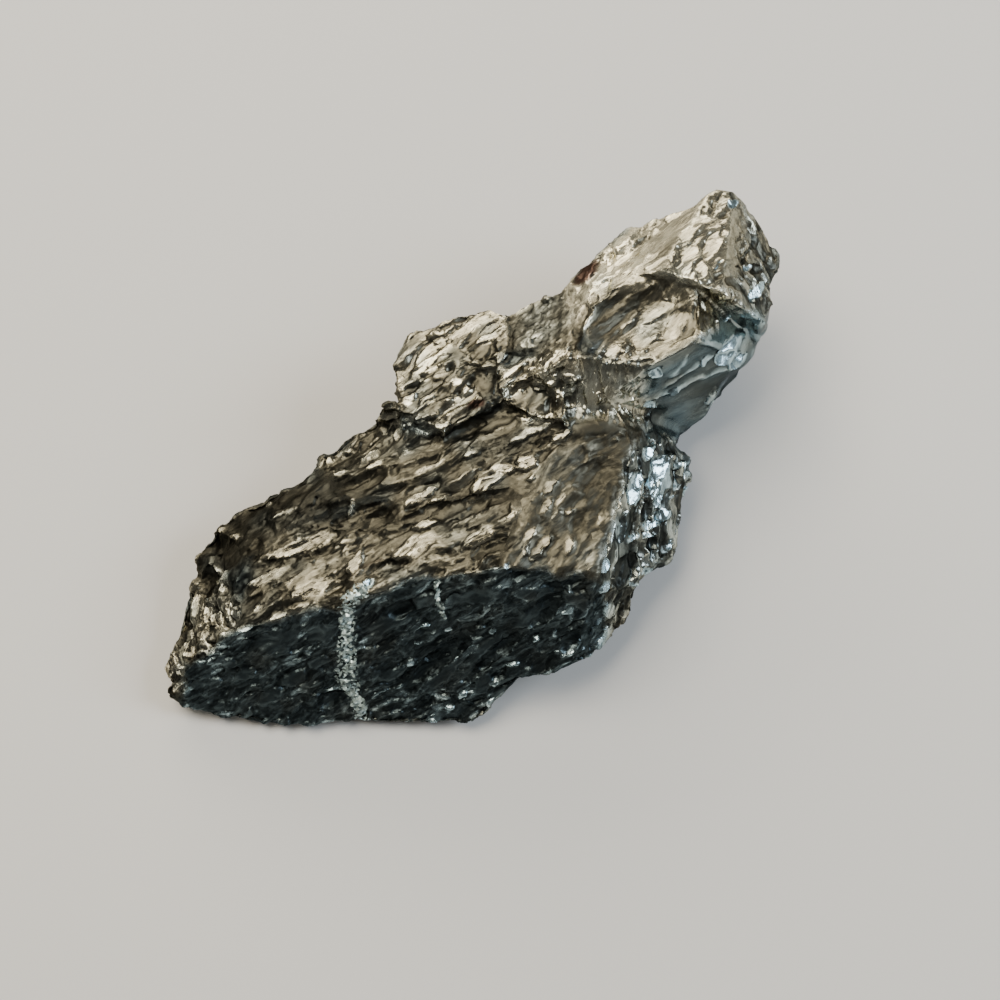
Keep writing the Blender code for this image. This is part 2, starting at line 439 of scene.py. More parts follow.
def drawInSpikes(mesh):
    # folds and needles left by the carving are drawn back among their neighbours
    points, ends = readPoints(mesh), edgeEnds(mesh)
    for step in range(stoneShape["spikeRounds"]):
        middle = np.stack([neighbourMean(ends, points[:, k]) for k in range(3)], axis=1)
        far = np.linalg.norm(points - middle, axis=1) > stoneShape["spike"]
        points[far] = middle[far]
    print("needles left:", int(far.sum()))
    writePoints(mesh, points)


def thin(piece, budget):
    # every face is four-sided here, so it counts as two
    decimate = piece.modifiers.new("thin", "DECIMATE")
    decimate.ratio = min(1, budget / (2 * len(piece.data.polygons)))
    decimate.use_collapse_triangulate = True
    applyModifiers(piece)


# the grain inside a zone
grainStyle = {
    "bends": ((3, 0.45), (1, 0.12)),      # size and strength, in flake widths
    "scars": 0.6,                         # how many along one flake and across it
    "smallPlanes": 2.4,
    "fineScars": 2.1,
    "scarLevel": 0.8,                     # where a bowl this high leaves the surface as it was
    "swells": (3, 3.5, 3.5),              # length and widths, in flakes
    "swell": 0.3,                         # millimetres, where the zone has none of its own
    "largeTone": 0.7,                     # the large flakes' part of the tone
    "chipCalm": 0.6,                      # how much of the grain a chip loses
    "apart": 17.3,                        # millimetres between two zones' patterns
}


def grainDepth(points, zone, seed):
    along = planDirection(*zone["grain"])
    across = np.cross(upright, along)
    across = across / np.linalg.norm(across)
    grain = np.stack([points @ along, points @ across, points @ np.cross(along, across)], axis=1) / mm
    length, width = zone["flake"]
    straight = grain
    for k, (size, strength) in enumerate(grainStyle["bends"]):
        grain = grain + strength * width * wander(straight / (size * width), seed + 5 * k)
    cells = grain / (length, width, width)
    scars, planes, fine = zone["depths"]
    flakes, tone = brokenPlanes(cells, seed + 20, flakeShape["shed"])
    small, smallTone = brokenPlanes(cells * grainStyle["smallPlanes"], seed + 40)
    level = grainStyle["scarLevel"]
    depth = scars * (level - flakeScars(cells * grainStyle["scars"], seed + 10)) + planes * flakes
    depth += fine * (small + level - flakeScars(cells * grainStyle["fineScars"], seed + 30))
    depth += zone.get("swell", grainStyle["swell"]) * softNoise(cells / grainStyle["swells"], seed + 50)
    share = grainStyle["largeTone"]
    return depth, share * tone + (1 - share) * smallTone, grain


# painted light and shade for each part of the surface: darkest and brightest flakes, share of bright ones,
# warmth of their painted reflection colour, extra roughness, and how much the smallest flakes show
paintedLightColumns = ("darkest", "brightest", "share", "reflectionWarmth", "dullness", "grit")
paintedLightByZone = {
    "front": (0.21, 1.4, 0.19, 0, 0.04, 1),
    "leftEnd": (0.12, 1.0, 0.46, 0.9, 0, 1),
    "farLeft": (0.16, 0.4, 0.12, 0.85, 0.05, 1),
    "topWarm": (0.27, 0.5, 0.42, 1, 0.05, 0.9),
    "topDark": (0.26, 0.6, 0.33, 0.95, 0.04, 0.9),
    "topRight": (0.33, 0.42, 0.46, 1, 0.13, 0.6),
    "splinter": (0.22, 0.95, 0.24, 0.9, 0, 0.75),
    "shoulder": (0.32, 1.1, 0.5, 0.95, 0, 0.6),
    "pitted": (0.3, 0.78, 0.5, 0.9, 0.1, 1),
    "shoulderFront": (0.5, 1.7, 0.6, 0.9, 0, 0.7),
    "cliff": (1.15, 2.4, 0.6, 0.85, 0.03, 0.4),
    "dish": (0.42, 0.95, 0.6, 1, 0.05, 0.6),
    "longFacet": (1.6, 2.4, 0.9, 1, 0.08, 0.4),
    "plate": (0.5, 1.6, 0.72, 1, 0.06, 0.5),
    "tip": (0.24, 1.15, 0.52, 0.85, 0.05, 1),
    "column": (0.9, 2, 0.6, 0.95, 0, 0.8),
    "glassRight": (1.15, 1.7, 0.55, 0.2, 0, 0.25),
    "glassFront": (0.42, 0.8, 0.5, 0.15, 0, 0.25),
    "rightSide": (0.3, 2, 0.46, 0.5, 0, 0.5),
    "corner": (0.2, 1.1, 0.32, 0.7, 0, 1),
    "hidden": (0.14, 0.6, 0.32, 0.35, 0, 1),
}


# where the stone hangs over its foot: to the right of one line and behind another, below a height
foot = {
    "right": (-14 * mm, -6 * mm),
    "behind": (9 * mm, 12 * mm),
    "height": 2.4 * mm,
    "drop": -0.5 * mm,            # keeps the whole of the low end above the foot
    "edge": (-0.2 * mm, 0.4 * mm),
}

zoneEdge = {
    "soft": 0.7,                  # millimetres over which a zone fades in
    "least": 0.001,               # a zone that owns less of a point than this leaves it alone
    "ragged": 0.6,                # millimetres that the borders wander
    "raggedSize": 2 * mm,
    "facing": (-0.35, -0.1),      # from out of sight to in sight
}


def aboveFoot(points):
    # 0 under the overhang, 1 above it
    right = smoothStep(*foot["right"], points[:, 0])
    behind = smoothStep(*foot["behind"], points[:, 1])
    height = foot["height"] * np.maximum(right, behind) + foot["drop"]
    return smoothStep(*foot["edge"], points[:, 2] - height)


def zoneWeights(points, normals):
    # how much each zone owns of each point, adding up to 1
    ragged = wander(points / zoneEdge["raggedSize"], seeds["zoneEdge"])[:, :2]
    spots = asSeen(points) + zoneEdge["ragged"] * ragged
    shown = smoothStep(*zoneEdge["facing"], normals @ toViewer) * aboveFoot(points)
    weights = {name: shown * inside(spots, zone["outline"], zoneEdge["soft"])
               for name, zone in zones.items()}
    covered = sum(weights.values())
    weights["hidden"] = np.clip(1 - covered, 0, 1)
    total = covered + weights["hidden"]
    return {name: weight / total for name, weight in weights.items()}


# flat broken faces: right, up, heading, length and width, listed by the lamp that they are turned to;
# those under asTheyLie keep the way they lie and are painted white as glints, and the last ones are smooth
# and painted dark as shade
chips = {
    "window": [
        (-18.5, -8.8, 20, 6, 2), (-14.5, -6.2, 58, 2.7, 1.3), (-12, -6.9, 22, 3, 0.6),
        (-8.5, -4.6, 28, 5.8, 2.4), (-7.5, -2.4, 20, 3, 1.2), (-2, -3.8, 25, 4.2, 1.5),
        (-20, -4.7, 20, 7.6, 1.8), (-23.2, -7.7, 22, 5.6, 1.3), (2.9, -3.4, 40, 2.4, 1.2),
        (4.3, -4.4, 50, 2.6, 1), (3.5, -5.5, 20, 2, 0.9), (2.5, -4.8, 70, 1.7, 0.8),
        (5, 1.3, 50, 2.4, 0.9), (6.1, 0.3, 60, 2, 0.7), (4.6, -0.6, 70, 2.2, 0.9),
        (5.7, -1.3, 30, 1.6, 0.8), (-8, 0.4, 28, 4.4, 1.3), (-1.7, 1.6, 30, 3.6, 1.5),
        (0, 3.2, 8, 2.6, 1.3), (2.6, 3.8, 30, 3, 1.5), (-3, 4.7, 25, 1.8, 0.8), (3, 6.8, 24, 6.2, 0.9),
        (6.1, 6.4, 30, 2.6, 0.9), (3, 2.3, 30, 1.1, 0.6), (-6, 3.7, 30, 1.4, 0.4),
        (-7.6, 2.9, 28, 2, 0.5), (1.4, -1.4, 40, 2.8, 0.7), (-15, -0.9, 75, 2.4, 0.7),
        (-6.4, 0, 25, 2.6, 0.6), (-15.9, -4.2, 14, 1.8, 0.5), (-13.2, 4.6, 32, 2.6, 0.4),
        (-15.5, 4.8, 35, 1.8, 0.4), (-12.8, 3.5, 28, 2.6, 0.6), (-16.2, 2.8, 15, 1.8, 0.4),
        (-9.5, 4.8, 45, 1.4, 0.4), (-17.2, 4.2, 40, 1, 0.5), (-24.2, -10.8, 35, 1.6, 0.5),
        (-25.7, -12.8, 20, 1.8, 0.9), (-20, -10.6, 12, 2.6, 0.4), (-22.5, -11.6, 25, 1.6, 0.5),
        (-30.6, -11.1, 82, 3.6, 1.4), (-29.7, -13.4, 30, 2, 1.1), (-31.3, -14.8, 42, 2.4, 1.3),
        (-27.6, -13.4, 8, 1.7, 0.7), (-26.8, -11.1, 70, 1.4, 0.5), (-28.9, -10, 50, 1.2, 0.7),
        (-33.2, -16.8, 78, 2.6, 0.7), (-32.2, -18.7, 62, 2.4, 0.5), (-28.6, -6.7, -42, 2.2, 0.5),
        (-27.6, -7.5, 50, 1.2, 0.6), (-30.5, -5.4, 70, 1.4, 0.6), (-26.7, -3.7, 30, 1.3, 0.7),
        (-28.1, -2.9, 62, 0.9, 0.5), (-28.7, -11.7, 40, 1.2, 0.7), (-29.4, -15.2, 10, 2.2, 0.5),
        (-28, -14.6, -5, 1.6, 0.4), (-31.6, -19, 80, 1.4, 0.4), (-30, -16.2, 5, 2.4, 0.5),
        (-23.2, -0.3, 50, 1, 0.4), (-21.5, -1.2, 25, 3.4, 0.4), (-7.6, 13.6, 33, 3, 0.9),
        (-4.5, 11.8, -18, 1.2, 0.6), (-3.7, 11, 60, 1.2, 0.8), (-9.2, 10.1, 42, 2, 0.9),
        (-5.2, 15.2, 15, 2, 0.8), (-1.8, 18, 14, 3.8, 1.1), (-4, 16.9, 26, 2.8, 0.8),
        (-7.6, 16.5, 24, 1.6, 0.9), (-8.8, 14.9, 28, 2.2, 0.4), (-6, 16, 24, 1.8, 0.4),
        (0.9, 12.8, 38, 4, 0.6), (-0.9, 14.3, 26, 2.6, 0.5), (0.5, 11.6, 40, 2.2, 0.5),
        (-6, 12.8, 40, 2.4, 0.6), (-7, 10.6, 38, 3.4, 0.5), (-8, 9.2, 36, 2.2, 0.4),
        (-5, 10.2, 50, 1, 0.5), (-7.3, 8.5, 20, 1.8, 0.4), (2, 9.5, -35, 2.2, 0.7),
        (3.5, 8.6, -12, 2.4, 0.7), (4.9, 8.5, 30, 1.4, 0.5), (5.6, 10.3, 76, 2.2, 0.3),
        (-5.9, 7.6, 25, 2.4, 0.4), (-8.5, 8.2, 70, 1.2, 0.4), (3.4, 10.8, 30, 2.2, 0.4),
        (2.8, 13.3, 10, 1, 0.5), (-10.2, 7.5, 8, 2.6, 0.4), (-10.3, 6.8, 60, 1.2, 0.8),
        (-2.6, 13.8, 8, 1.4, 0.4), (-11, 9, 30, 1.6, 0.8), (2.1, 19.2, 35, 2.6, 0.5),
        (0, 18.2, 5, 2, 0.5), (2.9, 19.6, 60, 0.6, 0.6), (9.6, 10.2, 84, 2.6, 1.2),
        (11.3, 9.8, 86, 2.6, 0.7), (12.9, 9.6, -22, 2, 0.5), (10.4, 11.2, 88, 2, 0.4),
        (9, 11.4, 60, 1, 0.6), (6.8, 7.5, 50, 1.2, 0.5), (12, 6.6, 0, 0.6, 0.4), (11.6, 6, 20, 0.6, 0.3),
        (17.6, 17.5, 50, 4, 2.2), (11.6, 15, 22, 4, 1.3), (15.5, 18.8, 35, 4.6, 1.4),
        (14.8, 16, 30, 3.4, 0.8), (12.6, 17.4, 40, 2.6, 0.4), (14, 14.8, 25, 2.6, 0.5),
        (11.1, -10, 70, 2.2, 0.9), (10, -14, 80, 2.4, 1), (7, -4.5, 70, 2.6, 1), (9, -6, 80, 2.2, 0.9),
        (10, -2, 80, 1.6, 0.6), (6.8, -1.3, 20, 1.6, 0.6), (-11.4, 8.3, 20, 2.2, 1.2),
        (-9.4, 7.7, 60, 1.6, 1), (-8, 6.9, -10, 2, 0.9)],
    "farWindow": [
        (9.7, 20.6, 52, 4, 1.7), (19, 23.8, -75, 5.2, 3), (16.2, 23.8, 10, 4, 1.3),
        (21.4, 25.6, 60, 4.4, 2), (20.2, 23, -60, 2.8, 1.5), (22.4, 30, 70, 2.2, 1.4),
        (19, 26.8, 30, 3, 1.4), (15, 24.2, 35, 2, 1), (24, 26.2, 50, 1.4, 0.8),
        (17.2, 28.4, 30, 2.2, 0.7), (9.6, 24.2, 15, 1.8, 0.7), (15.5, 26.9, 50, 0.9, 0.5),
        (20.6, 28.8, 40, 1.6, 1), (22.5, 26.8, 30, 1.8, 1), (12.2, 25.4, 55, 2.2, 0.6),
        (10.8, 23.8, 75, 1.8, 0.4), (13, 23.8, 50, 1.8, 0.7)],
    "coolSide": [
        (23.4, 29.6, 12, 1.3, 0.9), (25.7, 20.9, 58, 2.4, 1.2), (-13.3, -8.5, 38, 1.8, 0.9),
        (0.7, -6.7, 30, 1, 0.7), (24.8, 23.3, 40, 1, 0.6), (22.1, 23.8, 20, 0.6, 0.4),
        (21.6, 23.3, 10, 0.5, 0.4), (16.2, 2.2, 84, 6, 1.8), (13.8, 1, 72, 3.6, 1.3),
        (16.1, 0, 85, 2.2, 0.8), (15.2, 4.8, 70, 2, 0.8), (18.3, 3.5, 60, 0.8, 0.6),
        (18.8, 2.6, 20, 0.8, 0.8), (17.6, 1.6, 80, 1.6, 0.6), (17.3, 0.3, 30, 0.8, 0.6),
        (18.6, 0.8, 80, 1.2, 0.4), (16.4, -1.6, 40, 1.8, 1.2), (15.3, -3.6, 0, 1, 0.4),
        (13.6, -3.7, 40, 1.4, 0.6), (17, -4.5, 70, 1.4, 0.5), (10.8, -6.6, 68, 2.2, 0.8),
        (10.5, -8.8, 60, 1.6, 0.8), (15, -7.2, 40, 1, 0.4), (13.6, -8.6, 30, 0.6, 0.3),
        (22.8, 18.2, 50, 0.9, 0.5), (15.5, -2.4, 20, 2, 0.8), (23.3, 15.4, 55, 3.4, 1.5),
        (22.7, 14.2, 30, 2.6, 1.6), (24, 13.8, 62, 2.2, 1.1), (15.6, 12.6, 45, 1.6, 0.9),
        (15.2, 9.3, 5, 1.4, 0.6), (20.6, 13.6, 35, 1.8, 0.4), (17.4, 10.6, 25, 1.4, 0.3)],
    "asTheyLie": [
        (21.2, 9.8, 65, 1.4, 0.5), (18.8, 2.2, 40, 1, 0.8), (11.1, -11.2, 75, 1.8, 0.8),
        (10.9, -13.6, 62, 2.8, 1.2), (9.2, 10.4, 84, 3, 1.6), (11.3, 9.8, 86, 2.4, 0.8),
        (12.9, 9.6, -22, 2, 0.6), (24.9, 12.7, 60, 0.8, 0.4), (25.3, 14.2, 70, 1, 0.4),
        (24.4, 11.3, 50, 0.8, 0.4), (12.8, -11.5, 40, 1.2, 0.6), (-7.6, 13.5, 35, 2.9, 1),
        (-9.2, 9.9, 40, 1.4, 0.7), (-4.4, 11.9, -15, 1.2, 0.6), (-3.4, 11, 60, 1.2, 0.8),
        (-8.1, -14.5, 5, 1, 0.4), (-8.9, -16.4, 30, 0.8, 0.5), (-7.6, -12.7, 20, 1, 0.4),
        (-5.1, -13.1, 10, 0.8, 0.3), (-0.8, -13.3, 40, 0.8, 0.5), (3.5, -14.2, 50, 0.9, 0.5),
        (5.4, -13.6, 70, 0.7, 0.4), (6.8, -11.3, 30, 1.4, 0.6), (7, -9.3, 80, 0.7, 0.3),
        (5, -17.3, 70, 0.7, 0.4), (7, -15.4, 60, 0.8, 0.4), (1.4, -16.5, 10, 1.2, 0.4),
        (-0.5, -18.4, 30, 1, 0.5), (-1, -20.5, 60, 1.2, 0.6), (-2.6, -21.6, 30, 1, 0.5),
        (-5, -21, 20, 1, 0.4), (-3.8, -19.7, 40, 1, 0.5), (-6.4, -22.3, 0, 1.2, 0.4),
        (-5.9, -20.1, 3, 2, 0.2), (9.3, -15.7, 40, 0.9, 0.5), (-32.2, -18.6, 62, 2.4, 0.5),
        (-31.2, -19.1, 50, 1.2, 0.5), (-28, -14.9, 0, 1.4, 0.3), (-17.2, -22.1, 5, 1.2, 0.3)],
    "paintedShade": [
        (-1.3, 11.3, -55, 3.8, 1.8), (3.2, 9.9, -20, 3.8, 2.2), (-4.4, 14.6, 20, 2.2, 1.5),
        (-2.2, 14.8, 30, 2.4, 1.4), (0.4, 8, 5, 5, 1.6), (10, 7.2, 0, 5, 1.4), (20.3, 17.8, 80, 2.4, 1.4),
        (-25.4, -17.6, 15, 2.4, 1.4), (-20.5, -18, 25, 2.6, 1.3), (-23.2, -19.8, 35, 3, 1.5),
        (-27.2, -16.6, 20, 1.8, 1.2), (-18.2, -16.3, 20, 3, 1.2), (-1.6, -18.4, 60, 2.6, 1.4),
        (-22.4, -14.2, 14, 5.6, 1.8), (-17.8, -13.4, 12, 3.6, 2.2), (-11.2, -12.6, 15, 4.6, 1.8),
        (-1.8, -9.8, 8, 5, 1.6), (3.6, -9.6, 0, 4, 1.5), (7.8, -10.2, -25, 3, 1.6),
        (-5.6, -17.6, 40, 5, 1.5), (-1, -14.6, 40, 4.4, 1.4), (2.8, -11.9, 40, 4, 1.4),
        (-10.8, -17.6, 30, 3.4, 1.3), (-7.4, -10.4, 12, 3.4, 1.4)],
}

# crests between glassy scars, thin and painted bright as highlights: points, width and height
crests = [
    ([(14.9, 9.6), (17.8, 10.7), (19.7, 11.9), (21.6, 12.6), (23.4, 13)], 0.4, 0.2),
    ([(16.2, 10.6), (18.4, 12.3), (20.8, 13.8)], 0.28, 0.12),
    ([(16.8, 11.9), (18.4, 13.2), (19, 14.6)], 0.24, 0.1),
    ([(8.7, 21.4), (9.2, 22.8), (9.4, 23.9)], 0.16, 0.06),
    ([(21, 8.2), (21.8, 10), (23.4, 12.4)], 0.3, 0.12),
    ([(8.8, 23), (8.6, 22.2), (8.5, 21.3)], 0.2, 0.08),
    ([(1.4, 8.5), (2.6, 7.9), (4.2, 8.1), (5.3, 9.3)], 0.45, 0.25),
    ([(-7.9, 14), (-6.2, 14.7), (-4.4, 15.8)], 0.3, 0.12),
    ([(9.6, 11), (9.9, 8.8)], 0.35, 0.12),
    ([(13.2, 9.9), (14.2, 9.2)], 0.35, 0.1),
]

# spoon-shaped hollows, painted darker inside as shade: right, up, heading, length, width and depth
hollows = [
    (-16.3, -8.8, 24, 3.2, 1.1, 0.55), (-11.1, -6.7, 18, 5.2, 1.4, 0.65), (-16, -1.5, 8, 5.6, 2.8, 0.45),
    (-12.4, -1.4, 20, 4.6, 2.4, 0.45), (-15, 1.7, 14, 7.6, 2, 0.45), (-3.2, -0.5, 18, 9.8, 1.6, 0.5),
    (-7.6, -1.2, 20, 5.4, 0.9, 0.45), (-0.8, -4.8, 20, 5.2, 1.2, 0.45), (7.8, -2.4, 76, 3.4, 1.5, 0.2),
    (-2, 7.4, 18, 8, 1.8, 0.45), (2, 5.3, 14, 3.8, 0.6, 0.45), (-2.6, 4.1, 16, 4.4, 0.7, 0.4),
    (9.6, 2.8, 18, 5.6, 2.6, 0.35), (-25.4, -6.6, 62, 6, 1.6, 0.5), (-24.8, -10.3, 35, 2.8, 0.8, 0.6),
    (-29.4, -8.3, 80, 3.6, 1.5, 0.5), (-27.8, -15, 2, 2.4, 0.7, 0.5), (-28.9, -4.5, 22, 3.4, 1.7, 0.45),
    (-1.3, 11.4, -55, 4.2, 1.8, 0.45), (-8.2, 12.3, 14, 4, 0.3, 0.45), (-7.8, 11.6, 16, 4.4, 0.3, 0.45),
    (-7.2, 10.9, 18, 3.6, 0.3, 0.45), (-8.4, 12.9, 16, 3, 0.3, 0.4), (-6, 14, 30, 2.4, 0.4, 0.3),
    (11, 19.4, 40, 4, 1.4, 0.2), (12.5, 18.2, 38, 6.6, 0.6, 0.3), (14.5, 20.4, 50, 3, 0.9, 0.3),
    (21.2, 29.1, 78, 1.8, 0.8, 0.45), (22.3, 28.4, 20, 1.4, 0.8, 0.4), (21.8, 22.4, 30, 1.2, 0.8, 0.4),
    (23.1, 21.8, -30, 1.5, 0.9, 0.4), (25.7, 23.1, 20, 1.4, 1, 0.4), (15.3, -4.4, 15, 2.2, 1.1, 0.6),
    (14.6, -5, 75, 1.6, 0.9, 0.5), (12.9, 2.4, 96, 4.2, 0.7, 0.8), (14.1, 2.4, 80, 2.6, 0.6, 0.6),
    (13, -7.2, 62, 4, 2, 0.5), (17.2, 5.2, 20, 1.6, 1, 0.5), (15, -1, 80, 2.6, 0.9, 0.4),
    (-24.5, -14.5, 10, 5, 1.6, 0.3), (-19, -14, 30, 3, 2, 0.35), (-17, -20, 25, 3.6, 1.8, 0.4),
    (-11, -14, 35, 4, 1.4, 0.3), (-6, -16, 38, 9, 1.8, 0.45), (0, -15, 38, 7, 1.6, 0.4),
    (4.5, -10.6, 62, 5.2, 2.6, 0.6), (7.5, -14, 50, 4, 1.4, 0.35), (-8, -20.5, 10, 6, 1.2, 0.35),
    (-10, -11.2, 20, 4, 1.4, 0.3), (-3, -10, 20, 5, 1.4, 0.3), (4.5, -16.5, 30, 4, 1.2, 0.3),
    (-15.5, 7.5, 30, 4, 0.5, 0.3), (-16, 3.8, 18, 6, 0.5, 0.5), (-10.5, 3, 40, 1.6, 0.8, 0.3),
    (-6, 7.5, 20, 2, 0.5, 0.5), (6, 11.5, 60, 1.2, 0.6, 0.4), (5, 9.5, 70, 2, 0.8, 0.4),
]

# broad patches painted dark as shade, where few flakes shine: right, up, heading, length, width and
# strength
shadePatches = [
    (-16.5, -0.4, 15, 11, 6, 0.8), (-8, -1.9, 12, 12, 2.4, 0.7), (-1.5, 0.4, 15, 11, 2.4, 0.7),
    (2, 6.2, 15, 10, 2.2, 0.8), (-24, -1, 32, 10, 4.5, 0.8), (10.2, 1.6, 75, 8, 3.4, 0.6),
    (-0.6, -4.6, 20, 5.5, 1.6, 0.6), (-5.5, 4.6, 25, 6, 1.6, 0.5), (-1.6, 11, -52, 5.5, 2, 0.6),
    (3.8, 10.2, -20, 4, 2.6, 0.6), (-0.6, 8.4, 4, 7, 1.8, 0.8), (10.4, 6.6, 0, 8, 2, 0.7),
    (-6, -15.2, 38, 11, 2.6, 0.8), (1.5, -12.6, 40, 9, 2.4, 0.7), (-11, -11.6, 15, 7, 2.6, 0.6),
    (5.6, -9.8, 20, 6, 2, 0.6), (-24, -16.2, 12, 7, 1.8, 0.6), (16.5, 25, 40, 4, 0.9, 0.5),
    (12.4, 19, 40, 7, 1.6, 0.4), (8.2, 15.4, -65, 3.4, 1.4, 0.8), (10, 8.2, 0, 8.5, 2.2, 0.85),
    (11, 18.4, 60, 5, 3, 0.85), (10, 13.6, -25, 3.6, 1.4, 0.8), (13, 13.2, 5, 4.4, 1.4, 0.8),
    (8.6, 22.7, 42, 3.6, 1.6, 0.5),
]

# cracks, painted dark inside as shade: points, width and depth
cracks = [
    ([(-25, -6.9), (-22, -6.4), (-19.5, -5.8), (-17.8, -4.9)], 0.3, 0.15),
    ([(19.7, 20.3), (19.5, 18.4), (19.9, 16.5)], 0.3, 0.4),
    ([(13.2, 25.1), (14, 25.9), (15, 26.5)], 0.35, 0.5),
    ([(25.8, 26), (24.8, 24.8), (24.4, 23.9), (23.3, 23.1)], 0.3, 0.4),
    ([(1.4, 17.7), (0.9, 15.6), (0.1, 13.8)], 0.5, 0.2),
    ([(9.8, 20.8), (8.3, 18.6), (7.2, 15.8), (7.3, 13.6)], 0.9, 0.35),
    ([(8.8, 15.2), (10.9, 14), (13.9, 13.6), (15.6, 14.2)], 0.5, 0.4),
    ([(7.4, 6.3), (10.2, 6.4), (12.5, 6.2), (14.5, 6.7)], 0.25, 0.15),
    ([(-23.4, -9.4), (-21.6, -8.2), (-20.2, -7.4)], 0.3, 0.3),
    ([(-20.3, -3.4), (-18.6, -2.6), (-17.2, -2.9)], 0.3, 0.3),
]

# pale granular veins: points with the width at each
veins = {
    "wide": [(-14, -9.2, 1.6), (-15.4, -10.2, 1.2), (-15.3, -12.5, 1.3), (-15.3, -15, 1.5),
             (-15.5, -17.2, 1.9), (-14.6, -19.6, 1.2), (-13.7, -21.8, 1.1)],
    "thin": [(-6.3, -8.2, 0.45), (-6.2, -10, 0.4), (-5.7, -11.6, 0.6)],
}

# knobs standing out of the outline: right, up, width and height
knobs = [
    (11.9, 26.6, 4.4, 0.8), (10.3, 25, 2.4, 0.6), (14.8, 28.3, 2.4, 0.4), (7.3, 22.8, 2, 0.4),
    (4.5, 20.4, 1.4, 0.6), (3, 20.8, 1.4, 0.4), (-30, -5.6, 3.6, 0.6), (-31, -8.6, 2.4, 0.5),
    (-27.8, -3.4, 2.4, 0.4), (-33.6, -15.4, 1.8, 0.5), (19, 2.3, 1.6, 0.4), (25.9, 17.3, 1.6, 0.4),
    (22.1, 10.2, 1.6, 0.3), (-18.2, 4.6, 1.8, 0.4), (16.6, -6, 1.8, 0.4),
]

knobStyle = {
    "roundness": 0.7,
    "facing": (-0.9, -0.4),
    "foot": (0.5 * mm, 3 * mm),      # they fade out between these heights
}

# rusty stains: right, up, heading, length, width and strength
rustSpots = [
    (-2.4, 9.7, 15, 2, 1, 0.8), (-1.6, 9, 60, 1, 0.5, 0.5), (8.6, 22.7, 42, 3.4, 1.5, 0.8),
    (-13, -6.4, 20, 3, 0.5, 0.3),
]

chipStyle = {
    "edge": 0.12,            # share of its size over which a chip's rim falls
    "fill": 0.22 * mm,       # how far a chip may stand above the rough surface
    "cut": 1.2 * mm,
    "steepest": 34,          # degrees that it may turn from the surface
    "furthest": 0.7,         # times its length, from its middle
    "fewest": 4,             # points, to say which way it faces
    "sides": 7,
    "looseness": 0.7,        # how unevenly the sides stand round it
    "reach": (0.75, 0.35),   # nearest side, and how much further the furthest may be
    "rim": (1.05, 0.8),      # where its painted glint begins and is full
    "marks": {"coolSide": "coolGlint", "asTheyLie": "paintedGlint", "paintedShade": "smooth"},
}


def lampNormal(name):
    # the way a face points when it shows that lamp to the viewer
    heading, height = studio["lamps"][name][:2]
    middle = planDirection(heading, height) + toViewer
    return middle / np.linalg.norm(middle)


def lensReach(spots, right, up, heading, length, width):
    # how far along it and how far across it, 0 in its middle and 1 or -1 at its ends
    angle = math.radians(heading)
    offset = spots - (right, up)
    along = (offset[:, 0] * math.cos(angle) + offset[:, 1] * math.sin(angle)) / (length / 2)
    across = (offset[:, 1] * math.cos(angle) - offset[:, 0] * math.sin(angle)) / (width / 2)
    return along, across


def chipReach(spots, place, seed):
    # 0 in the middle, 1 at the rim of a straight-sided outline of its own
    along, across = lensReach(spots, *place)
    reach = np.zeros(len(spots))
    sides = chipStyle["sides"]
    least, spread = chipStyle["reach"]
    chance = cellNumbers(np.array([[seed, k, sides] for k in range(sides)]), seeds["chip"], 2)
    for k in range(sides):
        angle = 2 * math.pi * (k + chipStyle["looseness"] * chance[0][k]) / sides
        away = (along * math.cos(angle) + across * math.sin(angle)) / (least + spread * chance[1][k])
        reach = np.maximum(reach, away)
    return reach


def pathReach(spots, path):
    # distance from a line of points, and how far along it, in points
    nearest = np.full(len(spots), 1e9)
    place = np.zeros(len(spots))
    corners = np.array(path, float)[:, :2]
    for k in range(len(path) - 1):
        away, share = stretchReach(spots, corners[k], corners[k + 1])
        place = np.where(away < nearest, k + share, place)
        nearest = np.minimum(nearest, away)
    return nearest, place


# how places given as seen are laid on the surface
sketch = {
    "facing": (-0.05, 0.15),     # from out of sight to in sight
    "waver": 0.16,               # millimetres that drawn outlines waver
    "waverSize": 0.8 * mm,
}


def readSurface(mesh):
    points, normals = readPoints(mesh), readNormals(mesh)
    shown = smoothStep(*sketch["facing"], normals @ toViewer) * aboveFoot(points)
    waver = sketch["waver"] * wander(points / sketch["waverSize"], seeds["waver"])[:, :2]
    return {"points": points, "normals": normals, "shown": shown, "spots": asSeen(points) + waver}


def turnChips(surface, marks):
    # flattens each chip and turns it towards its lamp, as far as it may turn
    points, normals, spots = surface["points"], surface["normals"], surface["spots"]
    inSight = surface["shown"] > 0.5
    seed = 0
    for lamp, places in chips.items():
        target = lampNormal(lamp) if lamp in studio["lamps"] else None
        for place in places:
            seed += 1
            away = np.hypot(*(spots - place[:2]).T)
            close = np.where(inSight & (away < chipStyle["furthest"] * place[3]))[0]
            reach = chipReach(spots[close], place, seed)
            core = close[reach < 1]
            if len(core) < chipStyle["fewest"]:
                continue
            facing = normals[core].mean(0)
            facing = facing / np.linalg.norm(facing)
            if target is not None:
                between = math.acos(np.clip(facing @ target, -1, 1))
                share = min(1, math.radians(chipStyle["steepest"]) / max(between, 1e-6))
                facing = facing * (1 - share) + target * share
                facing = facing / np.linalg.norm(facing)
            height = (points[close] - points[core].mean(0)) @ facing
            height = np.clip(height, -chipStyle["fill"], chipStyle["cut"])
            points[close] -= facing * (height * smoothStep(1, 1 - chipStyle["edge"], reach))[:, None]
            # each chip is also painted as a glint: coolSide ones blue-white, asTheyLie ones white, the last
            # ones dark
            tone = smoothStep(*chipStyle["rim"], reach)
            if lamp != "paintedShade":
                marks["chip"][close] = np.maximum(marks["chip"][close], tone)
            kind = chipStyle["marks"].get(lamp)
            if kind:
                marks[kind][close] = np.maximum(marks[kind][close], tone)


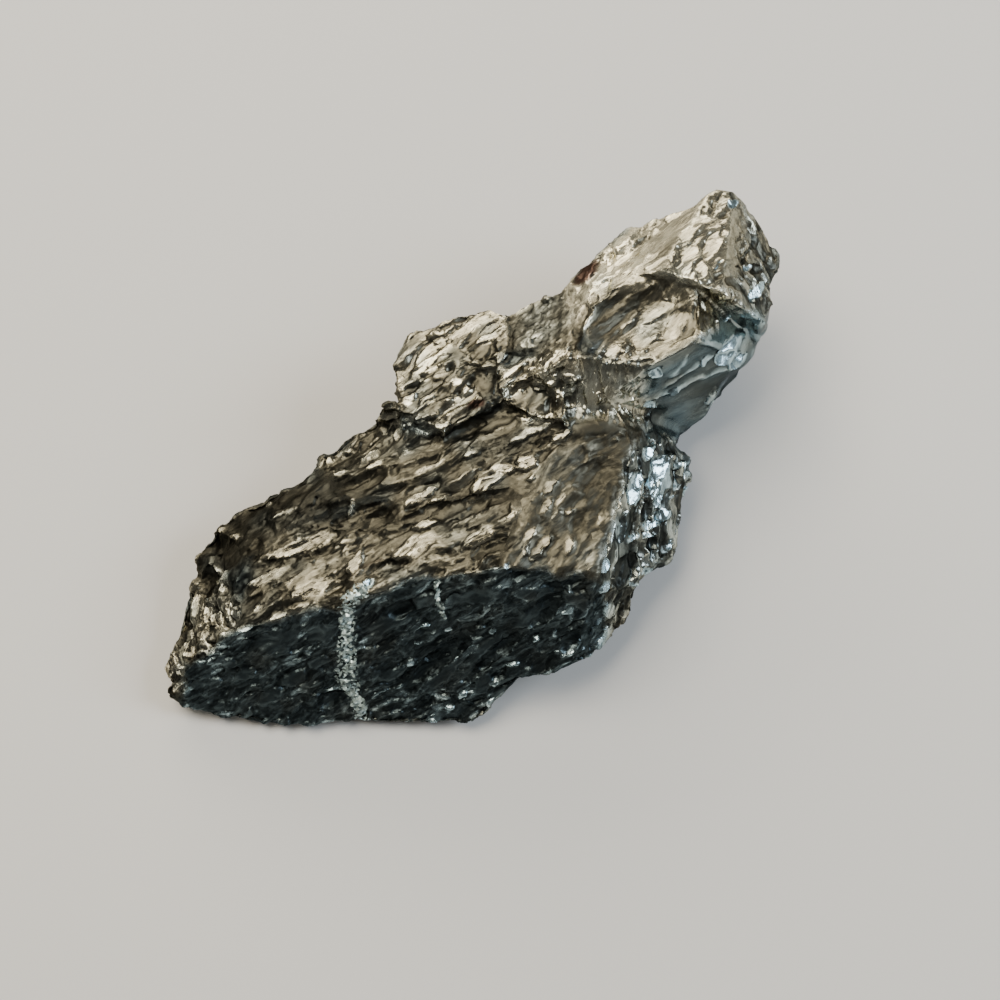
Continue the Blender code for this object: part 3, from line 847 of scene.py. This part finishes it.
def raiseKnobs(surface, marks):
    points, normals = surface["points"], surface["normals"]
    for right, up, width, height in knobs:
        near = ((surface["spots"] - (right, up))**2).sum(1) / (width / 2)**2
        rise = np.clip(1 - near, 0, 1)**knobStyle["roundness"]
        rise = rise * smoothStep(*knobStyle["facing"], normals @ toViewer)
        points += normals * (height * mm * rise * smoothStep(*knobStyle["foot"], points[:, 2]))[:, None]


# how hollows, cracks and crests end; pairs are where a mark begins and is full
reliefStyle = {
    "steepest": 0.3,          # a hollow's greatest depth for its width
    "bowl": 0.8,
    "hollowMark": (1.25, 0.5),
    "stainMark": (1.3, 0.5),
    "crackTaper": 0.4,        # of a stretch between two points
    "crackMark": (0.6, 0.2),
    "crestTaper": 0.3,
    "crestMark": (0.3, 0.9),
}


def nearness(spots, place):
    # 0 in the middle, 1 at the rim of a lens
    along, across = lensReach(spots, *place)
    return along**2 + across**2


def endTaper(path, share, length):
    # 0 at both ends of a line, 1 along it
    return smoothStep(0, length, share) * smoothStep(0, length, len(path) - 1 - share)


def strengthen(marks, name, values):
    marks[name] = np.maximum(marks[name], values)


def sinkHollows(surface, marks):
    spots, shown = surface["spots"], surface["shown"]
    for *place, strength in rustSpots:
        strengthen(marks, "rust", strength * smoothStep(*reliefStyle["stainMark"], nearness(spots, place)))
    for *place, strength in shadePatches:
        strengthen(marks, "paintedShade", strength * smoothStep(*reliefStyle["stainMark"], nearness(spots, place)))
    push = np.zeros(len(spots))
    for *place, depth in hollows:
        near, width = nearness(spots, place), place[4]
        bowl = np.clip(1 - near, 0, 1)**reliefStyle["bowl"]
        push = np.maximum(push, min(depth, reliefStyle["steepest"] * width) * bowl)
        strengthen(marks, "hollow", smoothStep(*reliefStyle["hollowMark"], near))
    for path, width, depth in cracks:
        away, share = pathReach(spots, path)
        taper = endTaper(path, share, reliefStyle["crackTaper"])
        push = np.maximum(push, depth * taper * np.clip(1 - away / (width / 2), 0, 1))
        strengthen(marks, "hollow", taper * smoothStep(*reliefStyle["crackMark"], away / width))
    for path, width, height in crests:
        away, share = pathReach(spots, path)
        rise = endTaper(path, share, reliefStyle["crestTaper"]) * np.clip(1 - away / width, 0, 1)
        push -= height * rise
        strengthen(marks, "paintedGlint", smoothStep(*reliefStyle["crestMark"], rise))
    for name in ("rust", "paintedShade", "paintedGlint", "hollow"):
        marks[name] *= shown
    surface["points"] -= surface["normals"] * (push * shown * mm)[:, None]


def breakGrain(surface, marks):
    points = surface["points"]
    depth = np.zeros(len(points))
    for k, (name, weight) in enumerate(zoneWeights(points, surface["normals"]).items()):
        zone = zones.get(name, hiddenGrain)
        seed = seeds["grain"] + seeds["grainRun"] * k
        touched = weight > zoneEdge["least"]
        own = weight[touched]
        zoneDepth, tone, grain = grainDepth(points[touched], zone, seed)
        depth[touched] += own * zoneDepth
        marks["tone"][touched] += own * tone
        for mark, value in zip(paintedLightColumns, paintedLightByZone[name]):
            marks[mark][touched] += own * value
        main = weight > 0.5
        marks["grain"][main] = grain[main[touched]] + grainStyle["apart"] * k
    depth *= 1 - grainStyle["chipCalm"] * np.maximum(marks["chip"], marks["smooth"])
    surface["points"] = points - surface["normals"] * (depth * mm)[:, None]


veinStyle = {
    "mark": (0.85, 0.15),        # where the vein begins and is full, in widths from its middle
    "breaks": (0.95, 0.7),       # how full it is, and how much that varies
    "breakSize": 0.8 * mm,
    "grainSize": 0.55 * mm,
    "lift": (0.10 * mm, 0.16 * mm),      # of all of it, and of single grains
}


def grainVeins(surface, marks):
    spots, points = surface["spots"], surface["points"]
    for path in veins.values():
        away, share = pathReach(spots, path)
        width = np.interp(share, range(len(path)), [point[2] for point in path])
        strengthen(marks, "vein", surface["shown"] * smoothStep(*veinStyle["mark"], away / width))
    full, uneven = veinStyle["breaks"]
    breaks = softNoise(points / veinStyle["breakSize"], seeds["veinBreaks"])
    marks["vein"] *= np.clip(full + uneven * breaks, 0, 1)
    grains = brokenPlanes(points / veinStyle["grainSize"], seeds["veinGrains"])[0]
    lift, grainLift = veinStyle["lift"]
    rise = marks["vein"] * (lift + grainLift * grains)
    surface["points"] = points + surface["normals"] * rise[:, None]


# how bright each kind of place is painted, as painted highlights and shade; 1 is the metal's own colour
shineStyle = {
    "flakeEdge": (0.14, 0.2),        # softness between bright and dark flakes, and more of it without grit
    "shadeShare": 0.75,               # share of bright flakes that a painted shade patch loses
    "chip": (0.6, 0.5),              # painted glint on a chip: least, and how much its tone adds
    "chipLimit": 1.5,                # times the brightest flakes round it
    "coolGlintGain": 1.8,
    "hollowLoss": 0.6,
    "shadeLoss": 0.65,
    "rimAndCreaseStrength": (0.3, 0.7),              # painted highlight on rims and painted shade in creases: without grit, and how much grit adds
    "rimGain": 0.9,
    "creaseLoss": 0.4,
    "fullRimHeight": 0.012 * mm,          # a rim this proud of its neighbours gets the full painted highlight
    "smooth": (0.28, 0.85),          # painted dark tone of smooth faces, as painted shade, and how far they have it
    "smoothGrit": 0.7,
    "floor": 0.7,                    # times the darkest flakes; only rust is darker
    "rustLoss": 0.8,
    # brightness of painted glints
    "paintedGlint": 2.4,
    "tint": 0.3,                     # how much the painted reflection warmth varies at random
    "tintSize": 2.2 * mm,
}


def settleShine(mesh, marks):
    # each flake is painted bright or dark as a whole, as painted reflections; rims get a painted highlight
    # and creases painted shade
    style = shineStyle
    rough = 1 - marks["chip"]
    soft = style["flakeEdge"][0] + style["flakeEdge"][1] * (1 - marks["grit"])
    share = marks["share"] * (1 - style["shadeShare"] * marks["paintedShade"])
    lit = smoothStep(-soft, soft, marks["tone"] - (1 - share))
    lit = marks["darkest"] + (marks["brightest"] - marks["darkest"]) * lit
    chipTone = style["chip"][0] + style["chip"][1] * marks["tone"]
    chipTone = np.minimum(chipTone, style["chipLimit"] * marks["brightest"])
    # chips are painted brighter as glints, the cool ones brighter still and blue-white
    lit = np.maximum(lit, chipTone * (1 + style["coolGlintGain"] * marks["coolGlint"]) * marks["chip"])
    # painted shade in hollows and cracks
    lit *= 1 - style["hollowLoss"] * marks["hollow"] * rough
    # painted shade over the broad patches
    lit *= 1 - style["shadeLoss"] * marks["paintedShade"] * rough
    # painted highlight on rims, painted shade in creases
    rimOrCreaseLight = ridges(mesh) * (style["rimAndCreaseStrength"][0] + style["rimAndCreaseStrength"][1] * marks["grit"])
    lit *= 1 + style["rimGain"] * np.clip(rimOrCreaseLight, 0, 1) - style["creaseLoss"] * np.clip(-rimOrCreaseLight, 0, 1)
    # smooth faces are painted a fixed dark tone as shade
    lit += (style["smooth"][0] - lit) * style["smooth"][1] * marks["smooth"]
    lit = np.maximum(lit, style["floor"] * marks["darkest"]) * (1 - style["rustLoss"] * marks["rust"])
    marks["paintedLightAndRust"] = lit + (style["paintedGlint"] - lit) * marks["paintedGlint"]
    marks["grit"] = marks["grit"] * (1 - style["smoothGrit"] * marks["smooth"])
    tint = style["tint"] * softNoise(readPoints(mesh) / style["tintSize"], seeds["tint"])
    # warm or cool tint of painted reflections, varied at random; blue-white where a chip is painted as a
    # cool glint
    marks["reflectionWarmth"] = np.clip(marks["reflectionWarmth"] + tint, 0, 1) * (1 - marks["coolGlint"])
    marks["dullness"] = marks["dullness"] * rough


def ridges(mesh):
    # 1 on sharp rims, -1 in creases
    points, ends = readPoints(mesh), edgeEnds(mesh)
    middle = np.stack([neighbourMean(ends, points[:, k]) for k in range(3)], axis=1)
    stand = ((points - middle) * readNormals(mesh)).sum(1)
    for step in range(3):
        stand = neighbourMean(ends, stand)
    return np.clip(stand / shineStyle["fullRimHeight"], -1, 1)


def carveStone(mesh):
    names = ("chip", "coolGlint", "paintedGlint", "smooth", "paintedShade", "hollow", "tone", "vein", "rust")
    marks = {name: np.zeros(len(mesh.vertices)) for name in names + paintedLightColumns}
    marks["grain"] = np.zeros((len(mesh.vertices), 3))
    for stage in ((raiseKnobs,), (turnChips, sinkHollows), (breakGrain,), (grainVeins,)):
        surface = readSurface(mesh)
        for work in stage:
            work(surface, marks)
        writePoints(mesh, surface["points"])
        drawInSpikes(mesh)
    settleShine(mesh, marks)
    for name in ("paintedLightAndRust", "reflectionWarmth", "dullness", "grit", "vein", "rust"):
        layer = mesh.attributes.new(name, "FLOAT", "POINT")
        layer.data.foreach_set("value", marks[name].astype(np.float32))
    grain = mesh.attributes.new("grain", "FLOAT_VECTOR", "POINT")
    grain.data.foreach_set("vector", marks["grain"].astype(np.float32).ravel())


def makeStone():
    stone = fineCopy(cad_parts["stone"], "stoneSurface")
    print("stone remeshed:", len(stone.data.vertices), "points", len(stone.data.polygons), "faces")
    carveStone(stone.data)
    print("stone carved")
    thin(stone, stoneShape["faceBudget"])
    cutFlat(stone)
    stone.data.shade_smooth()
    stone.data.set_sharp_from_angle(angle=math.radians(stoneShape["creaseAngle"]))
    print("stone thinned:", len(stone.data.polygons), "faces")
    return stone


def addNode(tree, kind, settings, feeds):
    node = tree.nodes.new("ShaderNode" + kind)
    for name, value in settings.items():
        setattr(node, name, value)
    for name, feed in feeds.items():
        if isinstance(feed, bpy.types.NodeSocket):
            tree.links.new(feed, node.inputs[name])
        else:
            node.inputs[name].default_value = feed
    return node


def maths(tree, operation, *feeds, clamp=False):
    settings = {"operation": operation, "use_clamp": clamp}
    return addNode(tree, "Math", settings, dict(enumerate(feeds))).outputs[0]


def vectorMaths(tree, operation, *feeds):
    return addNode(tree, "VectorMath", {"operation": operation}, dict(enumerate(feeds))).outputs[0]


def scaled(tree, vector, scale):
    feeds = {"Vector": vector, "Scale": scale}
    return addNode(tree, "VectorMath", {"operation": "SCALE"}, feeds).outputs[0]


def blendColours(tree, share, first, second):
    return addNode(tree, "Mix", {"data_type": "RGBA"}, {0: share, 6: first, 7: second}).outputs[2]


def attribute(tree, name, output="Fac"):
    return addNode(tree, "Attribute", {"attribute_name": name}, {}).outputs[output]


finish = {
    # warm and cool colours of painted reflections, of the warm lamps and of the cool side lamp
    "warmReflectionColour": (0.328, 0.307, 0.230, 1),
    "coolReflectionColour": (0.235, 0.310, 0.335, 1),
    "veinPale": (0.80, 1.0, 0.98, 1),
    "rustRed": (0.075, 0.022, 0.016, 1),
    "roughness": {"bright": 0.20, "dark": 0.40, "streaks": 0.16, "crystals": -0.14},
    "metallic": {"stone": 0.95, "crystals": -0.65},
    "ior": 1.42,
    "edgeTint": (0.4, 0.4, 0.4, 1),
    # patterns on the grain: length and width in millimetres, bend, tilt and tone
    "chip": {"size": (1.3, 0.5), "bend": 0.45, "tilt": 0.20, "tone": 0.8},
    "glint": {"size": (0.45, 0.18), "bend": 0.45, "tilt": 0.16, "tone": 0.4},
    "streak": {"size": (2.2, 0.22), "bend": 0.4, "relief": 0.04 * mm, "tone": (1.2, -0.45)},
    "bendScale": 0.8,
    "leastTone": 0.42,
    "plainTone": 0.8,        # where there is no grit
    "mostShine": 2.6,
    "crystal": {"size": 0.28 * mm, "tilt": 1.3, "edge": 6.0, "contrast": 1.4, "tone": (0.95, 0.20)},
}


def centred(tree, colour):
    # a colour as an offset either way
    return vectorMaths(tree, "SUBTRACT", colour, (0.5, 0.5, 0.5))


def grainPattern(tree, name, kind, settings):
    # a pattern on the stone's own grain, stretched along it and bent a little
    length, width = finish[name]["size"]
    bend = finish[name]["bend"]
    place = vectorMaths(tree, "DIVIDE", attribute(tree, "grain", "Vector"), (length, width, width))
    noise = addNode(tree, "TexNoise", {}, {"Vector": place, "Scale": finish["bendScale"], "Detail": 2.0})
    shift = vectorMaths(tree, "MULTIPLY", centred(tree, noise.outputs["Color"]), (bend, bend, bend))
    bent = vectorMaths(tree, "ADD", place, shift)
    return addNode(tree, kind, {}, {"Vector": bent, "Scale": 1.0, **settings})


def addFlakes(tree, grit, normal):
    # small flakes catch the light one by one: their tones and their normal
    tones = []
    for name in ("chip", "glint"):
        colour = grainPattern(tree, name, "TexVoronoi", {}).outputs["Color"]
        tilt = maths(tree, "MULTIPLY", grit, finish[name]["tilt"])
        normal = vectorMaths(tree, "ADD", normal, scaled(tree, centred(tree, colour), tilt))
        tone = addNode(tree, "SeparateColor", {}, {0: colour}).outputs[1]
        tones.append(maths(tree, "MULTIPLY", tone, finish[name]["tone"]))
    return maths(tree, "ADD", *tones), normal


def addCrystals(tree, vein, normal):
    # vein crystals, each pale or dark, point every way: where they are, their colour and their normal
    crystal = finish["crystal"]
    place = addNode(tree, "TexCoord", {}, {}).outputs["Object"]
    cells = addNode(tree, "TexVoronoi", {}, {"Vector": place, "Scale": 1 / crystal["size"]})
    cells = cells.outputs["Color"]
    chance = addNode(tree, "SeparateColor", {}, {0: cells})
    there = maths(tree, "SUBTRACT", vein, chance.outputs[0])
    there = maths(tree, "MULTIPLY", there, crystal["edge"], clamp=True)
    tilt = maths(tree, "MULTIPLY", there, crystal["tilt"])
    normal = vectorMaths(tree, "ADD", normal, scaled(tree, centred(tree, cells), tilt))
    tone = maths(tree, "POWER", chance.outputs[1], crystal["contrast"])
    tone = maths(tree, "MULTIPLY_ADD", tone, *crystal["tone"])
    return there, scaled(tree, finish["veinPale"][:3], tone), vectorMaths(tree, "NORMALIZE", normal)


def stoneFinish():
    material = bpy.data.materials.new("shungite")
    material.use_nodes = True
    tree = material.node_tree
    shader = tree.nodes["Principled BSDF"]
    shader.inputs["IOR"].default_value = finish["ior"]
    shader.inputs["Specular Tint"].default_value = finish["edgeTint"]
    paintedLightAndRust, vein, reflectionWarmth, grit = (attribute(tree, name) for name in ("paintedLightAndRust", "vein", "reflectionWarmth", "grit"))
    normal = addNode(tree, "NewGeometry", {}, {}).outputs["Normal"]
    flakes, normal = addFlakes(tree, grit, normal)
    crystals, pale, normal = addCrystals(tree, vein, normal)
    streak = finish["streak"]
    streaks = grainPattern(tree, "streak", "TexNoise", {"Detail": 4.0}).outputs["Fac"]
    relief = {"Height": streaks, "Distance": streak["relief"], "Strength": grit, "Normal": normal}
    tree.links.new(addNode(tree, "Bump", {}, relief).outputs[0], shader.inputs["Normal"])
    # colour: painted light and shade from near-black to bright metal, in warm or cool painted reflection
    # colours, streaked along the grain
    tone = maths(tree, "ADD", maths(tree, "MULTIPLY_ADD", streaks, *streak["tone"]), flakes)
    tone = maths(tree, "MAXIMUM", tone, finish["leastTone"])
    plain = finish["plainTone"]
    tone = maths(tree, "MULTIPLY_ADD", maths(tree, "SUBTRACT", tone, plain), grit, plain)
    paintedBrightness = maths(tree, "MINIMUM", maths(tree, "MULTIPLY", paintedLightAndRust, tone), finish["mostShine"])
    metal = blendColours(tree, reflectionWarmth, finish["coolReflectionColour"], finish["warmReflectionColour"])
    metal = blendColours(tree, attribute(tree, "rust"), metal, finish["rustRed"])
    colour = blendColours(tree, crystals, scaled(tree, metal, paintedBrightness), pale)
    tree.links.new(colour, shader.inputs["Base Color"])
    metallic = finish["metallic"]
    metallic = maths(tree, "MULTIPLY_ADD", crystals, metallic["crystals"], metallic["stone"])
    tree.links.new(metallic, shader.inputs["Metallic"])
    style = finish["roughness"]
    rough = maths(tree, "MULTIPLY_ADD", paintedLightAndRust, style["bright"] - style["dark"], style["dark"])
    rough = maths(tree, "MULTIPLY_ADD", crystals, style["crystals"], rough)
    rough = maths(tree, "MAXIMUM", rough, style["bright"])
    uneven = maths(tree, "MULTIPLY_ADD", streaks, style["streaks"], -style["streaks"] / 2)
    rough = maths(tree, "ADD", maths(tree, "ADD", rough, uneven), attribute(tree, "dullness"))
    tree.links.new(rough, shader.inputs["Roughness"])
    return material


makeCamera()
makeStudio()
stone = makeStone()
stone.data.materials.clear()
stone.data.materials.append(stoneFinish())
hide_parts("stone")
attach(stone, "root")
